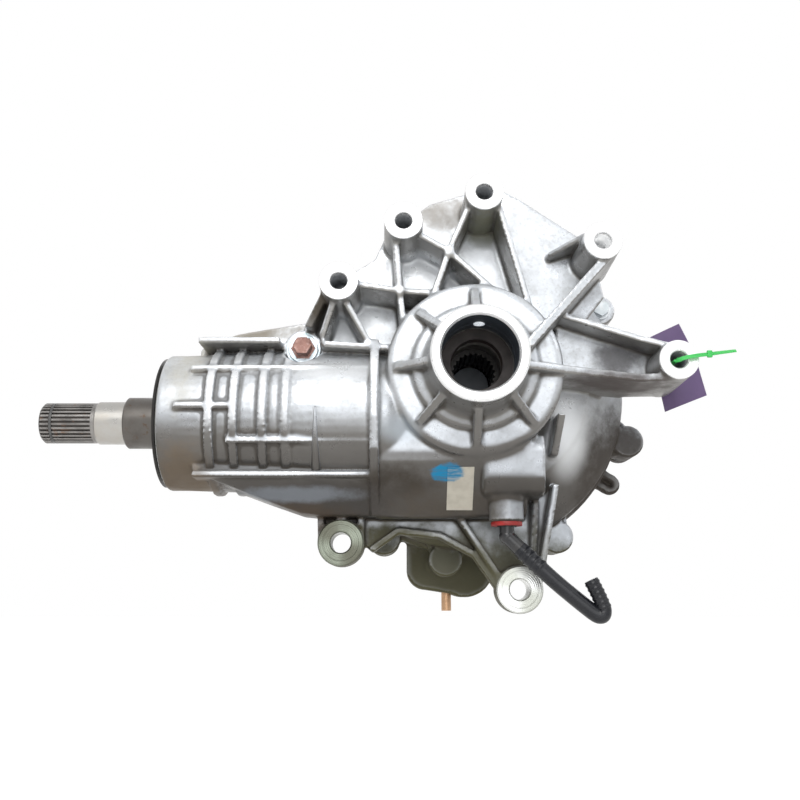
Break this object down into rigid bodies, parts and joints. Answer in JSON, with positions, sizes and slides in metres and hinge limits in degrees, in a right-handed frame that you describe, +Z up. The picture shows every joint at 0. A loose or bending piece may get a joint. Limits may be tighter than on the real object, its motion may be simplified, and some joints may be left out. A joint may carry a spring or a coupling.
{
  "type": "front differential",
  "caption": "Front differential in a ribbed die-cast housing, with a splined input shaft, hypoid gears, an open differential, bolt bosses, ears and a breather hose.",
  "frame": {"origin": "on the axle line, in the plane of the pinion's line", "axes": "+Z up as in the picture, Y along the axle line with the near collar toward -Y, and the input shaft leaves toward -X"},
  "size_m": [0.4101, 0.183, 0.2812],
  "materials": {
    "cast_aluminium": "die-cast, machined on bosses and collar",
    "cast_aluminium_back": "die-cast, duller",
    "gasket_grey": "sealing paper and rubber",
    "zinc_steel": "zinc plated",
    "bright_steel": "ground",
    "rusty_steel": "rusty zinc plate",
    "washer_alloy": "soft alloy",
    "copper_brown": "tarnished",
    "black_plastic": "glossy",
    "red_plastic": "matt",
    "hose_rubber": "moulded rubber",
    "seal_rubber": "brown-black",
    "shim_steel": "rolled",
    "shaft_steel": "dull spline with a ground journal",
    "sleeve_black": "black-brown",
    "spring_steel": "oiled",
    "gear_steel": "case hardened",
    "black_steel": "black oxide",
    "case_iron": "machined casting",
    "washer_bronze": "bronze",
    "cage_steel": "pressed",
    "label_paper": "blank film"
  },
  "bodies": {
    "housing": {"main_housing": "cast_aluminium", "side_cover": "cast_aluminium_back", "cover_gasket": "gasket_grey", "cover_bolts": "zinc_steel", "cover_dowels": "bright_steel", "fill_plug": "rusty_steel", "fill_plug_washer": "washer_alloy", "drain_plug": "rusty_steel", "drain_plug_washer": "washer_alloy", "drain_stub": "copper_brown", "breather_elbow": "black_plastic", "breather_clip": "red_plastic", "breather_hose": "hose_rubber", "axle_seal_near": "seal_rubber", "axle_seal_far": "seal_rubber", "pinion_seal": "seal_rubber", "near_bearing_cup": "bright_steel", "far_bearing_cup": "bright_steel", "head_bearing_cup": "bright_steel", "tail_bearing_cup": "bright_steel", "near_shim": "shim_steel", "far_shim": "shim_steel", "label_plate": "label_paper"},
    "carrier": {"ring_gear": "gear_steel", "ring_gear_bolts": "black_steel", "diff_case": "case_iron", "cross_pin": "bright_steel", "thrust_block": "black_steel", "cross_pin_lock": "spring_steel", "near_bearing_cone": "bright_steel", "far_bearing_cone": "bright_steel", "spider_washer_top": "washer_bronze", "spider_washer_bottom": "washer_bronze", "side_washer_near": "washer_bronze", "side_washer_far": "washer_bronze"},
    "input_shaft": {"pinion": "shaft_steel", "head_bearing_cone": "bright_steel", "tail_bearing_cone": "bright_steel", "pinion_shim": "shim_steel", "crush_sleeve": "bright_steel", "pinion_nut": "zinc_steel", "input_sleeve": "sleeve_black", "dust_shield": "sleeve_black", "shaft_circlip": "spring_steel"},
    "near_rollers": {"near_bearing_rollers": "bright_steel", "near_bearing_cage": "cage_steel"},
    "far_rollers": {"far_bearing_rollers": "bright_steel", "far_bearing_cage": "cage_steel"},
    "head_rollers": {"head_bearing_rollers": "bright_steel", "head_bearing_cage": "cage_steel"},
    "tail_rollers": {"tail_bearing_rollers": "bright_steel", "tail_bearing_cage": "cage_steel"},
    "near_side_gear": {"side_gear_near": "gear_steel"},
    "far_side_gear": {"side_gear_far": "gear_steel"},
    "top_spider": {"spider_gear_top": "gear_steel"},
    "bottom_spider": {"spider_gear_bottom": "gear_steel"}
  },
  "joints": [
    {"name": "carrier_spin", "type": "hinge", "parent": "housing", "child": "carrier", "pos_m": [0, 0, 0], "axis": [0, 1, 0], "continuous": true},
    {"name": "input_spin", "type": "hinge", "parent": "housing", "child": "input_shaft", "pos_m": [-0.1, 0, -0.026], "axis": [1, 0, 0], "continuous": true},
    {"name": "near_rollers_roll", "type": "hinge", "parent": "housing", "child": "near_rollers", "pos_m": [0, -0.0325, 0], "axis": [0, 1, 0], "continuous": true},
    {"name": "far_rollers_roll", "type": "hinge", "parent": "housing", "child": "far_rollers", "pos_m": [0, 0.0725, 0], "axis": [0, 1, 0], "continuous": true},
    {"name": "head_rollers_roll", "type": "hinge", "parent": "housing", "child": "head_rollers", "pos_m": [-0.1085, 0, -0.026], "axis": [1, 0, 0], "continuous": true},
    {"name": "tail_rollers_roll", "type": "hinge", "parent": "housing", "child": "tail_rollers", "pos_m": [-0.159, 0, -0.026], "axis": [1, 0, 0], "continuous": true},
    {"name": "near_side_gear_spin", "type": "hinge", "parent": "carrier", "child": "near_side_gear", "pos_m": [0, 0.014, 0], "axis": [0, 1, 0], "continuous": true},
    {"name": "far_side_gear_spin", "type": "hinge", "parent": "carrier", "child": "far_side_gear", "pos_m": [0, 0.014, 0], "axis": [0, 1, 0], "continuous": true},
    {"name": "top_spider_spin", "type": "hinge", "parent": "carrier", "child": "top_spider", "pos_m": [0, 0.014, 0], "axis": [0, 0, 1], "continuous": true},
    {"name": "bottom_spider_spin", "type": "hinge", "parent": "carrier", "child": "bottom_spider", "pos_m": [0, 0.014, 0], "axis": [0, 0, 1], "continuous": true}
  ],
  "couplings": [
    {"joint": "input_spin", "follows": "carrier_spin", "ratio": 3.4167},
    {"joint": "near_rollers_roll", "follows": "carrier_spin", "ratio": 0.447},
    {"joint": "far_rollers_roll", "follows": "carrier_spin", "ratio": 0.447},
    {"joint": "head_rollers_roll", "follows": "carrier_spin", "ratio": 1.466},
    {"joint": "tail_rollers_roll", "follows": "carrier_spin", "ratio": 1.484},
    {"joint": "far_side_gear_spin", "follows": "near_side_gear_spin", "ratio": -1},
    {"joint": "top_spider_spin", "follows": "near_side_gear_spin", "ratio": 1.6},
    {"joint": "bottom_spider_spin", "follows": "near_side_gear_spin", "ratio": -1.6}
  ]
}
